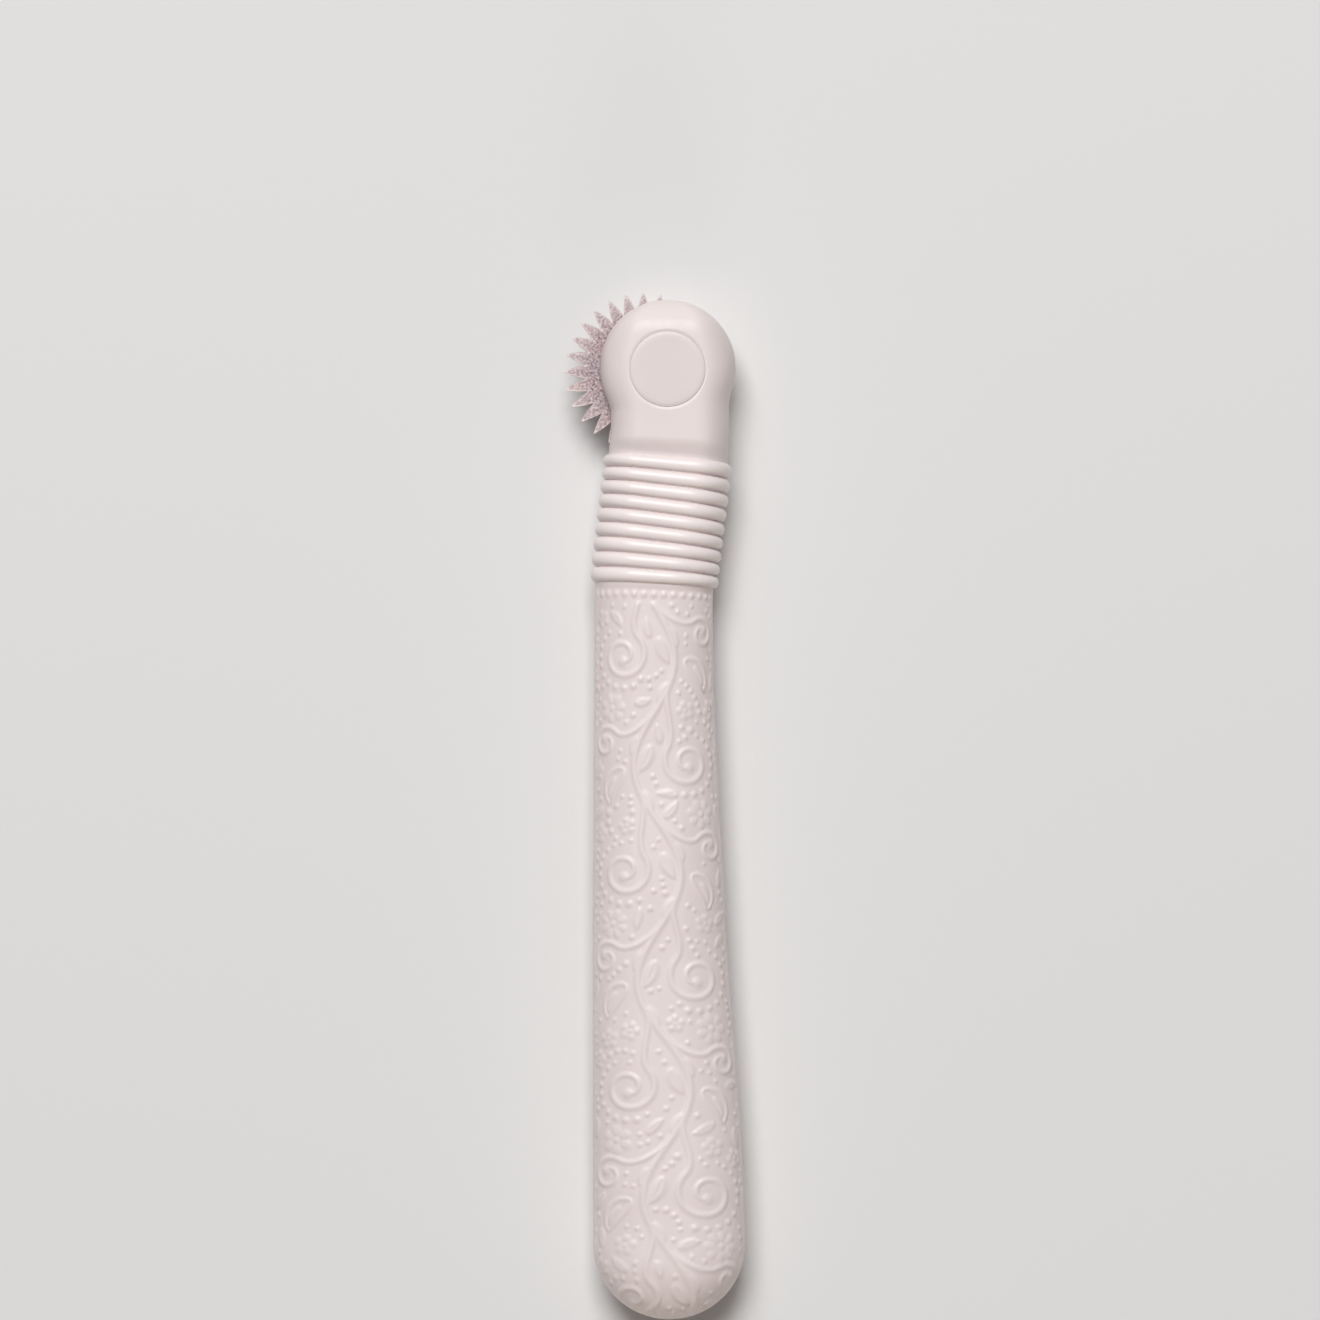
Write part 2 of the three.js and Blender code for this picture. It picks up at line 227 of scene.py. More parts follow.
# Colours, which are linear, and how much smoother the ridges are
SHELL_DEEP = (0.780, 0.689, 0.677)
SHELL_PALE = (0.820, 0.729, 0.716)
CAP_DEEP = (0.735, 0.650, 0.640)
CAP_PALE = (0.770, 0.685, 0.673)
# Painted shade: the ornament's ground, between and around the motifs, is painted a little darker
GROUND_PAINTED_SHADE = (0.99, 0.985, 0.985)
# Painted highlight: the ridges are painted paler towards their crests, for the bright lines of light along
# them
CREST_PAINTED_HIGHLIGHT = (1.13, 1.155, 1.15)
CREST_POLISH = -0.12
PLATING_DARK = (0.068, 0.053, 0.055)
PLATING_PALE = (0.325, 0.255, 0.262)
PLATING_LILAC = (0.93, 0.965, 1)
PLATING_PINK = (1, 0.955, 0.89)
# Partly wear, partly a painted highlight: the paler colour along the teeth's bevels
PLATING_WEAR_AND_GLINT = (0.66, 0.585, 0.575)
STEEL_DARK = (0.48, 0.47, 0.46)
STEEL_PALE = (0.62, 0.61, 0.60)
BRASS_DARK = (0.52, 0.38, 0.16)
BRASS_PALE = (0.68, 0.53, 0.26)
FLOOR_TONE = (0.78, 0.775, 0.77)
WORLD_TONE = (0.985, 0.98, 1)

# A wave texture of scale 1 has this wave length
WAVE_LENGTH = math.pi / 10

# Floor, camera and light: lengths are in metres, but the sensor's is in millimetres
FLOOR_SIZE = 3.0
VIEW_WIDTH = 180.8 * MM
VIEW_CENTRE = Vector((-1.03, -39.52, MID_HEIGHT)) * MM
CAMERA_DISTANCE = 1.5
CAMERA_ELEVATION = math.radians(87.5)
SENSOR = 36
AMBIENT = 0.09


def smooth_step(share):
    """From 0 to 1 with level ends."""
    share = np.clip(share, 0, 1)
    return share * share * (3 - 2 * share)


# The handle's profile

def curve_through(*knots):
    """A curve through (place, value) knots that never overshoots them."""
    places, values = np.array(knots, float).T
    rise = np.diff(values) / np.diff(places)
    slopes = np.zeros(len(knots))
    for i in range(1, len(knots) - 1):
        before, after = rise[i - 1], rise[i]
        if before * after > 0:
            slopes[i] = 2 * before * after / (before + after)

    def curve(at):
        at = np.clip(at, places[0], places[-1])
        i = np.clip(np.searchsorted(places, at) - 1, 0, len(rise) - 1)
        span = places[i + 1] - places[i]
        t = (at - places[i]) / span
        start = (1 + 2 * t) * (1 - t) ** 2 * values[i] + t * (1 - t) ** 2 * span * slopes[i]
        end = t * t * (3 - 2 * t) * values[i + 1] - t * t * (1 - t) * span * slopes[i + 1]
        return start + end

    return curve


body_width = curve_through(
    (NECK_AT, NECK_WIDTH), (WAIST_AT, WAIST_WIDTH), (BELLY_AT, BELLY_WIDTH), (TAIL_AT, TAIL_WIDTH)
)
body_thickness = curve_through(
    (CHEEK_AT, HEAD_THICKNESS),
    (GRIP_AT, NECK_THICKNESS),
    (WAIST_AT, WAIST_THICKNESS),
    (BELLY_AT, BELLY_THICKNESS),
    (TAIL_AT, TAIL_THICKNESS),
)
flatness = curve_through((NECK_AT, HEAD_FLATNESS), (WAIST_AT, WAIST_FLATNESS), (TAIL_AT, TAIL_FLATNESS))
centre_offset = curve_through(
    (0, 0),
    (NECK_AT, NECK_OFFSET),
    (WAIST_AT, WAIST_OFFSET),
    (BELLY_AT, BELLY_OFFSET),
    (TAIL_AT, TAIL_OFFSET),
)


def arch(share):
    """The height of a round arch at a share of its half span."""
    return np.sqrt(np.maximum(0, 1 - share * share))


def larger_with_fillet(a, b, fillet):
    """The larger of two lengths, with a fillet where they cross."""
    share = np.clip(0.5 + (a - b) / (2 * fillet), 0, 1)
    return b + (a - b) * share + fillet * share * (1 - share)


def round_off(share, flat):
    """The height of an outline that is flat in the middle and bends down to its ends."""
    past = larger_with_fillet(np.abs(share) - flat, 0, FLATNESS_BLEND)
    return arch(past / (1 - flat))


def ridge_rise(at):
    """How far the grip's ridges stand above the body."""
    along = ((at - GRIP_AT) / RIDGE_PITCH) % 1
    across = (2 * along - 1) * RIDGE_PITCH / (RIDGE_PITCH - RIDGE_GAP)
    return np.where((at < GRIP_AT) | (at > GRIP_END), 0, RIDGE_HEIGHT * arch(across))


def section(at, inset):
    """Half width, half thickness and flatness of the handle, taken in by a wall."""
    head = HEAD_RADIUS - inset
    flat = flatness(at)
    head_half = head * arch(at / head)
    body_half = body_width(at) / 2 - inset
    tail = np.maximum(0, at - TAIL_AT) / (TAIL_ROUND - inset)
    half = larger_with_fillet(head_half, body_half, HEAD_FILLET) * arch(tail)
    half = np.where(at < 0, head_half, half)
    end = np.where(at < 0, round_off(at / head, flat), round_off(tail, flat))
    return half, (body_thickness(at) / 2 - inset) * end, flat


def centre_line(at):
    """The handle's centre line and the sideways direction there, both in plan."""
    step = 0.01
    lean = np.arctan2(centre_offset(at + step) - centre_offset(at - step), 2 * step)
    point = np.stack((centre_offset(at), HEAD_Y - at), axis=-1)
    return point, np.stack((np.cos(lean), np.sin(lean)), axis=-1)


def cheek_height(x, at):
    """Height of the smooth outside at a place in plan on the head."""
    half, thick, flat = section(at, 0)
    return thick * round_off((x - centre_offset(at)) / half, flat)


def slot_lip(x, at):
    """Height of the shell's edge above the joint plane: half the slot where the wheel runs, else none."""
    depth = SLOT_RADIUS - np.hypot(x - AXLE_X, at - AXLE_AT)
    share = np.clip(depth / SLOT_END_ROUND, 0, 1)
    return SLOT_HALF * np.sqrt(1 - (1 - share) ** 2)


# The raised ornament

def line_profile(share):
    """A rounded line that runs out softly."""
    return (1 - share * share) ** LINE_BEND


def leaf_profile(share):
    """A dome with a groove for the midrib."""
    midrib = 1 - smooth_step(share / MIDRIB_HALF)
    return (1 - share * share) ** LEAF_BEND * (1 - MIDRIB_DEPTH * midrib)


def rim_profile(share):
    """A raised outline round a low middle."""
    return np.exp(-(((share - RIM_AT) / RIM_SPREAD) ** 2)) * smooth_step((1 - share) / RIM_FADE)


class Carving:
    """Ornament on a flat chart of a surface: heights from 0 on the ground to 1 on the crests.

    The places that are taken are kept as discs, so that what is added later can keep clear of them.
    """

    def __init__(self, across, along):
        self.points = np.stack((across, along), axis=-1)
        self.height = np.zeros(len(across))
        self.taken = np.zeros((0, 3))

    def has_room(self, centres, radii, gap=MOTIF_GAP):
        """Whether discs stay inside the border and clear of all that is there."""
        low = np.array((-CHART_BORDER, CHART_TOP))
        high = np.array((CHART_BORDER, CHART_LENGTH))
        size = radii[:, None]
        if np.any(centres - size < low) or np.any(centres + size > high):
            return False
        near = self.taken[np.abs(self.taken[:, 1] - centres[0, 1]) < BAY_LENGTH / 2]
        apart = np.linalg.norm(centres[:, None] - near[:, :2], axis=2)
        return np.all(apart > size + near[:, 2] + gap)

    def take(self, centres, radii):
        """Marks discs as taken."""
        self.taken = np.concatenate((self.taken, np.column_stack((centres, radii))))

    def raise_to(self, low, high, shape):
        """Raises the points inside a box to the heights that a shape gives them, where they are lower."""
        inside = np.all((self.points > low) & (self.points < high), axis=1)
        near = np.nonzero(inside)[0]
        if len(near):
            self.height[near] = np.maximum(self.height[near], shape(self.points[near]))

    def stroke(self, path, widths, profile=line_profile):
        """A line along a path, with its half width at each point."""
        start = path[:-1]
        step = np.diff(path, axis=0)
        run = (step * step).sum(axis=1)
        swell = np.diff(widths)

        def shape(points):
            offset = points[:, None] - start
            share = np.clip((offset * step).sum(axis=2) / run, 0, 1)
            gap = np.linalg.norm(offset - share[..., None] * step, axis=2)
            nearest = (gap / (widths[:-1] + share * swell)).min(axis=1)
            return profile(np.minimum(1, nearest))

        reach = widths.max()
        self.raise_to(path.min(axis=0) - reach, path.max(axis=0) + reach, shape)
        self.take(path, widths)

    def beads(self, centres, radii):
        """Round domes."""
        for centre, radius in zip(centres, radii):
            def shape(points, centre=centre, radius=radius):
                share = np.linalg.norm(points - centre, axis=1) / radius
                return np.maximum(0, 1 - share * share)

            self.raise_to(centre - radius, centre + radius, shape)
        self.take(centres, radii)

    def flower(self, centre, radius, petals, turn):
        """Petals with low seams and notches between them, higher towards their edge, round a domed eye."""
        def shape(points):
            offset = points - centre
            reach = np.linalg.norm(offset, axis=1) / radius
            angle = np.arctan2(offset[:, 1], offset[:, 0]) + turn
            lobe = np.abs(np.cos(petals * angle / 2))
            edge = 1 - PETAL_NOTCH * (1 - lobe**NOTCH_BEND)
            outer = np.maximum(0, 1 - (reach / edge) ** PETAL_BEND) ** DOME_BEND
            across = PETAL_SEAM + (1 - PETAL_SEAM) * lobe**SEAM_BEND
            along = PETAL_ROOT + (1 - PETAL_ROOT) * reach / edge
            petal = outer * across * along * smooth_step((reach - EYE_GAP) / EYE_FADE)
            eye = np.maximum(0, 1 - (reach / EYE_RADIUS) ** 2) ** DOME_BEND
            return np.maximum(petal, eye)

        self.raise_to(centre - radius, centre + radius, shape)
        self.take(centre[None], np.array([radius * FLOWER_ROOM]))


def spiral_path(centre, radius, end_radius, start, turn, count=56):
    """A curl round a centre, by angles in degrees from across towards along."""
    share = np.linspace(0, 1, count)
    angle = np.radians(start + turn * share)
    reach = radius + (end_radius - radius) * share
    return np.asarray(centre) + np.stack((reach * np.cos(angle), reach * np.sin(angle)), axis=1)


def bent_path(base, heading, length, bend, count=16):
    """A path of a given length that turns by a bend on the way, in degrees."""
    angle = np.radians(heading + bend * np.linspace(0, 1, count))
    steps = np.stack((np.cos(angle), np.sin(angle)), axis=1) * length / (count - 1)
    return np.asarray(base) + np.concatenate((np.zeros((1, 2)), np.cumsum(steps[:-1], axis=0)))


def branch_to(start, heading, path, count=16):
    """A path with a smooth branch before it, from a start point with a heading."""
    onward = path[1] - path[0]
    onward = onward / np.linalg.norm(onward)
    heading = heading / np.linalg.norm(heading)
    pull = np.linalg.norm(path[0] - start)
    t = np.linspace(0, 1, count, endpoint=False)[:, None]
    first = (1 + 2 * t) * (1 - t) ** 2 * start + t * (1 - t) ** 2 * pull * heading
    second = t * t * (3 - 2 * t) * path[0] - t * t * (1 - t) * pull * onward
    return np.concatenate((first + second, path))


def tapered(count, width, end_width):
    """Half widths of a line that swells from its root and thins towards its tip."""
    share = np.linspace(0, 1, count)
    swell = ROOT_WIDTH + (1 - ROOT_WIDTH) * np.sin(math.pi * share)
    return (width + (end_width - width) * share) * swell


def leaf_widths(count, half_width):
    """Half widths of a leaf, which is widest a little before its middle."""
    share = np.linspace(0, 1, count)
    return LEAF_STALK + half_width * np.sin(math.pi * share**LEAF_LEAN) ** LEAF_ROUND


def stem_place(along):
    """The main stem swings from side to side, once in each bay."""
    return np.array((STEM_SWING * math.sin(math.pi * along / BAY_LENGTH), along))


def stem_heading(along):
    """The direction in which the main stem runs."""
    return np.array((STEM_SWING * math.pi / BAY_LENGTH * math.cos(math.pi * along / BAY_LENGTH), 1))


def carve_curl(carving, put, curl, root, width, end_width):
    """A branch from a root on the stem that ends in a curl with a bead."""
    path = branch_to(stem_place(root), stem_heading(root), curl)
    carving.stroke(put(path), tapered(len(path), width, end_width))
    carving.beads(put(path[-1:]), np.array([end_width * CURL_BEAD]))


def carve_trail(carving, put, path, radius, end_radius, count):
    """Beads along a path, from one size to another."""
    picks = np.linspace(0, len(path) - 1, count).round().astype(int)
    carving.beads(put(path[picks]), np.linspace(radius, end_radius, count))


def carve_leaf(carving, put, base, heading, length, half_width, bend):
    """A leaf with a midrib."""
    path = bent_path(base, heading, length, bend)
    carving.stroke(put(path), leaf_widths(len(path), half_width), leaf_profile)


def carve_paisley(carving, put, base, heading, length, half_width, bend):
    """A drop-shaped leaf drawn as an outline, with a smaller drop inside."""
    path = bent_path(base, heading, length, bend)
    carving.stroke(put(path), leaf_widths(len(path), half_width), rim_profile)
    inner = path[PAISLEY_CORE_POINTS]
    carving.stroke(put(inner), leaf_widths(len(inner), half_width * PAISLEY_CORE))


def carve_bay(carving, put, draw):
    """One bay of the scroll: the stem, a big and a small curl, a flower, a paisley, leaves and beads."""
    size = draw.uniform(0.94, 1.06)
    turn = draw.uniform(-14, 14)
    stem = np.array([stem_place(along) for along in np.linspace(0, BAY_LENGTH, STEM_POINTS)])
    carving.stroke(put(stem), np.full(len(stem), STEM_HALF))

    middle = (-4.5, 6.9)
    curl = spiral_path(middle, radius=3.6 * size, end_radius=0.75, start=-50 + turn, turn=500)
    carve_curl(carving, put, curl, root=-3.6, width=0.62, end_width=0.42)
    trail = spiral_path(middle, radius=4.7 * size, end_radius=4.1 * size, start=70 + turn, turn=165)
    carve_trail(carving, put, trail, radius=0.54, end_radius=0.36, count=10)

    curl = spiral_path((7.4, 3.9), radius=2.35 * size, end_radius=0.6, start=-130 - turn, turn=440)
    carve_curl(carving, put, curl, root=-1.2, width=0.54, end_width=0.38)

    petals = int(draw.integers(6, 9))
    centre = put(np.array([(-6.2, 14.0)]))[0]
    carving.flower(centre, radius=2.2 * size, petals=petals, turn=draw.uniform(0, math.pi))
    carve_paisley(carving, put, (4.6, 7.8), heading=20 + turn, length=5.4, half_width=1.6, bend=75)
    carve_leaf(carving, put, (0.7, 4.6), heading=80, length=3.8, half_width=0.95, bend=-30)
    carve_leaf(carving, put, (2.2, 10.8), heading=130, length=3.6, half_width=0.9, bend=-30)
    carve_leaf(carving, put, (1.9, 3.3), heading=40, length=2.8, half_width=0.7, bend=40)


def small_flower(carving, draw, place):
    """A flower of five petals, where there is room."""
    radius = draw.uniform(1.25, 1.6)
    turn = draw.uniform(0, math.pi)
    if carving.has_room(place[None], np.array([radius])):
        carving.flower(place, radius, petals=5, turn=turn)


def small_leaf(carving, draw, place):
    """A loose leaf, where there is room."""
    heading = draw.uniform(0, 360)
    length = draw.uniform(2.2, 3.2)
    path = bent_path(place, heading, length, bend=draw.uniform(-50, 50))
    widths = leaf_widths(len(path), half_width=draw.uniform(0.55, 0.75))
    if carving.has_room(path, widths):
        carving.stroke(path, widths, leaf_profile)


def small_fan(carving, draw, place):
    """Three drops that spread from a point, where there is room."""
    heading = draw.uniform(0, 360)
    widths = leaf_widths(count=6, half_width=0.38)
    paths = []
    for lean in (-48, 0, 48):
        paths.append(bent_path(place, heading + lean, length=2.3, bend=lean / 3, count=len(widths)))
    if all(carving.has_room(path, widths) for path in paths):
        for path in paths:
            carving.stroke(path, widths)


def bead_arc(carving, draw, place):
    """Three to six beads in a bow, each smaller than the one before, where there is room."""
    first_radius = draw.uniform(0.46, 0.6)
    last_radius = 0.36
    radii = np.linspace(first_radius, last_radius, int(draw.integers(3, 7)))
    steps = np.concatenate(([0], np.cumsum(BEAD_STEP * (radii[:-1] + radii[1:]))))
    heading = np.radians(draw.uniform(0, 360) + draw.uniform(-12, 12) * steps)
    centres = place + steps[:, None] * np.stack((np.cos(heading), np.sin(heading)), axis=1)
    if carving.has_room(centres, radii):
        carving.beads(centres, radii)


def single_bead(carving, draw, place):
    """One small bead, where there is room."""
    radius = np.array([draw.uniform(0.32, 0.44)])
    if carving.has_room(place[None], radius, BEAD_GAP):
        carving.beads(place[None], radius)


# What fills the gaps between the bays, the large motifs first, and how often each is tried
FILLERS = (
    (small_flower, 500),
    (small_leaf, 900),
    (small_fan, 900),
    (bead_arc, 2600),
    (single_bead, 4000),
)


def scrollwork(carving):
    """The whole ornament, from the bead row under the grip to the tail."""
    draw = np.random.default_rng(ORNAMENT_SEED)
    for bay in range(BAY_COUNT):
        side = 1 if bay % 2 == 0 else -1
        start = CHART_TOP + SCROLL_START + bay * BAY_LENGTH

        def put(path, side=side, start=start):
            return path * (side, 1) + (0, start)

        carve_bay(carving, put, draw)
    for make, trials in FILLERS:
        for _ in range(trials):
            place = draw.uniform((-CHART_BORDER, 0), (CHART_BORDER, CHART_LENGTH))
            make(carving, draw, place)
    carving.height *= smooth_step((carving.points[:, 1] - CHART_TOP) / SCROLL_FADE)
    row = np.linspace(-BEAD_ROW_HALF, BEAD_ROW_HALF, BEAD_ROW_COUNT)
    centres = np.column_stack((row, np.full(len(row), BEAD_ROW_AT)))
    carving.beads(centres, np.full(len(row), BEAD_ROW_RADIUS))


# The shells

def head_reach(height, inset=0):
    """How far the head, taken in by a wall, reaches up from its centre at a height."""
    share = height / (HEAD_THICKNESS / 2 - inset)
    return (HEAD_RADIUS - inset) * (HEAD_FLATNESS + (1 - HEAD_FLATNESS) * arch(share))


def row_places():
    """Where the shells are divided along the handle, closest at the slot's lip on top of the head."""
    lip_heights = SLOT_HALF + LIP_RISES
    half = HEAD_THICKNESS / 2
    bend = np.linspace(math.asin(lip_heights[-1] / half), math.pi / 2, HEAD_ROWS + 1)[1:]
    head = -head_reach(np.concatenate((lip_heights, half * np.sin(bend))))
    neck = np.linspace(head[-1], GRIP_AT, NECK_ROWS + 1, endpoint=False)[1:]
    along_ridge = (1 - np.cos(np.linspace(0, math.pi, RIDGE_ROWS, endpoint=False))) / 2
    ridges = GRIP_AT + RIDGE_PITCH * (np.arange(RIDGE_COUNT)[:, None] + along_ridge)
    body = np.linspace(GRIP_END, TAIL_AT, BODY_ROWS, endpoint=False)
    tail = TAIL_AT + TAIL_ROUND * np.sin(np.linspace(0, math.pi / 2, TAIL_ROWS))
    return np.concatenate((head, neck, ridges.ravel(), body, tail))


def section_arc(half, thick, flat, lips, shares):
    """One section's outline from its right lip over the crown to its left lip.

    Gives x, z and the arc length from the crown, positive to the right, at shares of the way.
    """
    across = np.cos(np.linspace(0, math.pi, ARC_SAMPLES))
    x = half * across
    z = thick * round_off(across, flat)
    run = np.concatenate(([0], np.cumsum(np.hypot(np.diff(x), np.diff(z)))))
    crown = ARC_SAMPLES // 2
    start = np.interp(lips[0], z[: crown + 1], run[: crown + 1])
    stop = np.interp(-lips[1], -z[crown:], run[crown:])
    places = start + (stop - start) * shares
    return np.interp(places, run, x), np.interp(places, run, z), run[crown] - places


def arc_grid(at, size, shares):
    """A surface's sections: points, arc lengths from the crown, and the lips' heights, right and left."""
    half, thick, flat = size
    point, sideways = centre_line(at)
    lips = np.stack([slot_lip(point[:, 0] + sign * half, at) for sign in (1, -1)], axis=1)
    points = np.zeros((len(at), len(shares), 3))
    lengths = np.zeros((len(at), len(shares)))
    for row in range(len(at)):
        reached = np.minimum(lips[row], thick[row])
        size_here = (max(half[row], LEAST_LENGTH), max(thick[row], LEAST_LENGTH), flat[row])
        x, z, lengths[row] = section_arc(*size_here, reached, shares)
        points[row, :, :2] = point[row] + x[:, None] * sideways[row]
        points[row, :, 2] = np.maximum(z, np.where(x > 0, lips[row, 0], lips[row, 1]))
    return points, lengths, lips


def grid_normals(points):
    """Unit normals of a grid of points."""
    along = np.gradient(points, axis=0)
    across = np.gradient(points, axis=1)
    normals = np.cross(across, along)
    size = np.linalg.norm(normals, axis=2, keepdims=True)
    return normals / np.maximum(size, LEAST_AREA)


def edge_drop(points, lips):
    """How far the surface is taken in close to its lips, for rounded edges."""
    middle = points.shape[1] // 2
    right = np.arange(points.shape[1]) < middle
    lip = np.where(right, lips[:, :1], lips[:, 1:])
    radius = SEAM_EDGE + (SLOT_EDGE - SEAM_EDGE) * lip / SLOT_HALF
    rise = np.clip(points[:, :, 2] - lip, 0, radius)
    return radius - np.sqrt(radius**2 - (radius - rise) ** 2)


def relief_ground(at, lengths):
    """How much of the relief's depth the surface loses at each grid point, from 0 to 1."""
    thick = section(at, 0)[1]
    along = np.concatenate(([0], np.cumsum(np.hypot(np.diff(at), np.diff(thick)))))
    along = along - np.interp(GRIP_END, at, along)
    reach = lengths[:, :1]
    widest = np.where(at[:, None] < TAIL_AT, reach, np.interp(TAIL_AT, at, reach[:, 0]))
    across = lengths * CHART_HALF / widest
    carved = at > GRIP_END
    chart_along = np.broadcast_to(along[:, None], across.shape)
    carving = Carving(across[carved].ravel(), chart_along[carved].ravel())
    scrollwork(carving)
    height = np.zeros(across.shape)
    height[carved] = carving.height.reshape(height[carved].shape)
    inside = smooth_step((reach - np.abs(lengths) - SIDE_MARGIN) / SIDE_FADE)
    below = smooth_step(along / TOP_FADE)[:, None]
    return (1 - height) * inside * below


def shell_grid():
    """What both shells share: outside, inside, the way inwards, the ornament's ground and the crests.

    The first rows are almost level lines, which give no sure normals, so they take those of the next row.
    """
    at = row_places()
    face = np.linspace(EDGE_SHARES[-1], 1 - EDGE_SHARES[-1], FACE_COLUMNS)
    shares = np.concatenate((EDGE_SHARES[:-1], face, 1 - EDGE_SHARES[-2::-1]))
    outer, lengths, lips = arc_grid(at, section(at, -ridge_rise(at)), shares)
    inner_at = np.clip(at, -head_reach(SLOT_HALF, SHELL_WALL), HANDLE_END - SHELL_WALL)
    inner = arc_grid(inner_at, section(inner_at, SHELL_WALL), np.linspace(1, 0, INNER_COLUMNS))[0]
    inwards = -grid_normals(outer)
    inwards[:LEVEL_ROWS] = inwards[LEVEL_ROWS]
    outer = outer + edge_drop(outer, lips)[..., None] * inwards
    crest = np.broadcast_to((ridge_rise(at)[:, None] / RIDGE_HEIGHT) ** 2, lengths.shape)
    return outer, inner, inwards, relief_ground(at, lengths), crest


# From points to pieces

def to_metres(points, facing):
    """From millimetres about the joint plane to metres in the frame, mirrored for the rear half."""
    return (points * (1, 1, facing) + (0, 0, MID_HEIGHT)) * MM


def ring_at(centre, radius, height, angle=FULL_TURN):
    """Points round an upright axis, whose radius and height may vary."""
    x = centre[0] + radius * np.cos(angle)
    y = centre[1] + radius * np.sin(angle)
    return np.column_stack((x, y, np.broadcast_to(height, angle.shape)))


def with_end_points(rings):
    """The rings with a point in the middle of the first and of the last, which closes a skin there."""
    first, last = (np.broadcast_to(ring.mean(axis=0), ring.shape) for ring in (rings[0], rings[-1]))
    return np.concatenate((first[None], rings, last[None]))


def closed_mesh(name, rings):
    """A mesh skinned over closed rings. The first and last rings are points, or the same ring."""
    rows, columns = rings.shape[:2]
    index = np.arange(rows * columns).reshape(rows, columns)
    beside = np.roll(index, -1, axis=1)
    quads = np.stack((index[:-1], beside[:-1], beside[1:], index[1:]), axis=-1).reshape(-1, 4)
    mesh = bpy.data.meshes.new(name)
    mesh.from_pydata(rings.reshape(-1, 3).tolist(), [], quads.tolist())
    return mesh


def mark(mesh, name, values):
    """Keeps a number for each point of a mesh, for its material."""
    marks = mesh.attributes.new(name, "FLOAT", "POINT")
    marks.data.foreach_set("value", values.ravel())


def clean_up(mesh, sharp_angle):
    """Joins points that coincide, turns the faces outwards and shades them smooth up to an angle."""
    made = bmesh.new()
    made.from_mesh(mesh)
    bmesh.ops.remove_doubles(made, verts=made.verts, dist=LEAST_LENGTH * MM)
    bmesh.ops.dissolve_degenerate(made, edges=made.edges, dist=LEAST_LENGTH * MM)
    bmesh.ops.recalc_face_normals(made, faces=made.faces)
    if made.calc_volume(signed=True) < 0:
        bmesh.ops.reverse_faces(made, faces=made.faces)
    made.to_mesh(mesh)
    made.free()
    mesh.shade_smooth()
    mesh.set_sharp_from_angle(angle=math.radians(sharp_angle))


def cut(mesh, tool):
    """The mesh with the tool's volume taken out."""
    scene_objects = bpy.context.scene.collection.objects
    target = bpy.data.objects.new("cut_target", mesh)
    cutter = bpy.data.objects.new("cut_tool", tool)
    scene_objects.link(target)
    scene_objects.link(cutter)
    boolean = target.modifiers.new("cut", "BOOLEAN")
    boolean.operation = "DIFFERENCE"
    boolean.solver = "MANIFOLD"
    boolean.object = cutter
    ready = target.evaluated_get(bpy.context.evaluated_depsgraph_get())
    result = bpy.data.meshes.new_from_object(ready)
    result.materials.clear()
    bpy.data.objects.remove(target)
    bpy.data.objects.remove(cutter)
    return result


def add_piece(name, mesh, body, node, material):
    """A piece of the object that rides on a body and stands for a node of the solids."""
    piece = bpy.data.objects.new(name, mesh)
    bpy.context.scene.collection.objects.link(piece)
    mesh.materials.append(material)
    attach(piece, body)
    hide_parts(node)


def seat_cutter(facing):
    """What the cap's seat takes out of a cheek: a straight hole whose rounded edge follows the cheek."""
    rim = ring_at(CAP_CENTRE, SEAT_RADIUS, 0)
    cheek = cheek_height(rim[:, 0], HEAD_Y - rim[:, 1])
    levels = [(0, CAP_SEAT_AT), (SEAT_RADIUS, CAP_SEAT_AT)]
    for share in GROOVE_SHARES:
        levels.append((SEAT_RADIUS + GROOVE_HALF * (1 - share), cheek - GROOVE_DROP * share**GROOVE_BEND))
    levels += [(SEAT_RADIUS + GROOVE_HALF, cheek + CUTTER_RISE), (0, cheek.mean() + CUTTER_RISE)]
    rings = np.array([ring_at(CAP_CENTRE, radius, height) for radius, height in levels])
    mesh = closed_mesh("seat_cutter", to_metres(rings, facing))
    clean_up(mesh, SHELL_SHARP)
    return mesh


def make_shell(side, facing, grid, material):
    """One half of the handle: ridges, ornament, the slot's lips and the seat for the cap."""
    outer, inner, inwards, ground, crest = grid
    ground = ground[:, ::facing]
    carved = outer + RELIEF_DEPTH * ground[..., None] * inwards
    rings = with_end_points(np.concatenate((carved, inner), axis=1))
    mesh = closed_mesh(f"{side}_half", to_metres(rings, facing))
    for name, values in (("ground", ground), ("crest", crest)):
        mark(mesh, name, np.pad(values, ((1, 1), (0, INNER_COLUMNS))))
    clean_up(mesh, SHELL_SHARP)
    mesh = cut(mesh, seat_cutter(facing))
    clean_up(mesh, SHELL_SHARP)
    add_piece(f"{side}_half", mesh, "handle", f"{side}_shell", material)


def make_cap(side, facing, material):
    """A flat disc with a rounded rim."""
    levels = [
        (0, CAP_SEAT_AT),
        (CAP_RADIUS - CAP_CHAMFER, CAP_SEAT_AT),
        (CAP_RADIUS, CAP_SEAT_AT + CAP_CHAMFER),
    ]
    for share in GROOVE_SHARES:
        levels.append((CAP_RADIUS - GROOVE_HALF * (1 - share), CAP_TOP - GROOVE_DROP * share**GROOVE_BEND))
    for share in CAP_SHARES:
        levels.append(((CAP_RADIUS - GROOVE_HALF) * share, CAP_TOP))
    rings = np.array([ring_at(CAP_CENTRE, radius, height) for radius, height in levels])
    mesh = closed_mesh(f"{side}_disc", to_metres(rings, facing))
    clean_up(mesh, CAP_SHARP)
    add_piece(f"{side}_disc", mesh, "handle", f"{side}_cap", material)


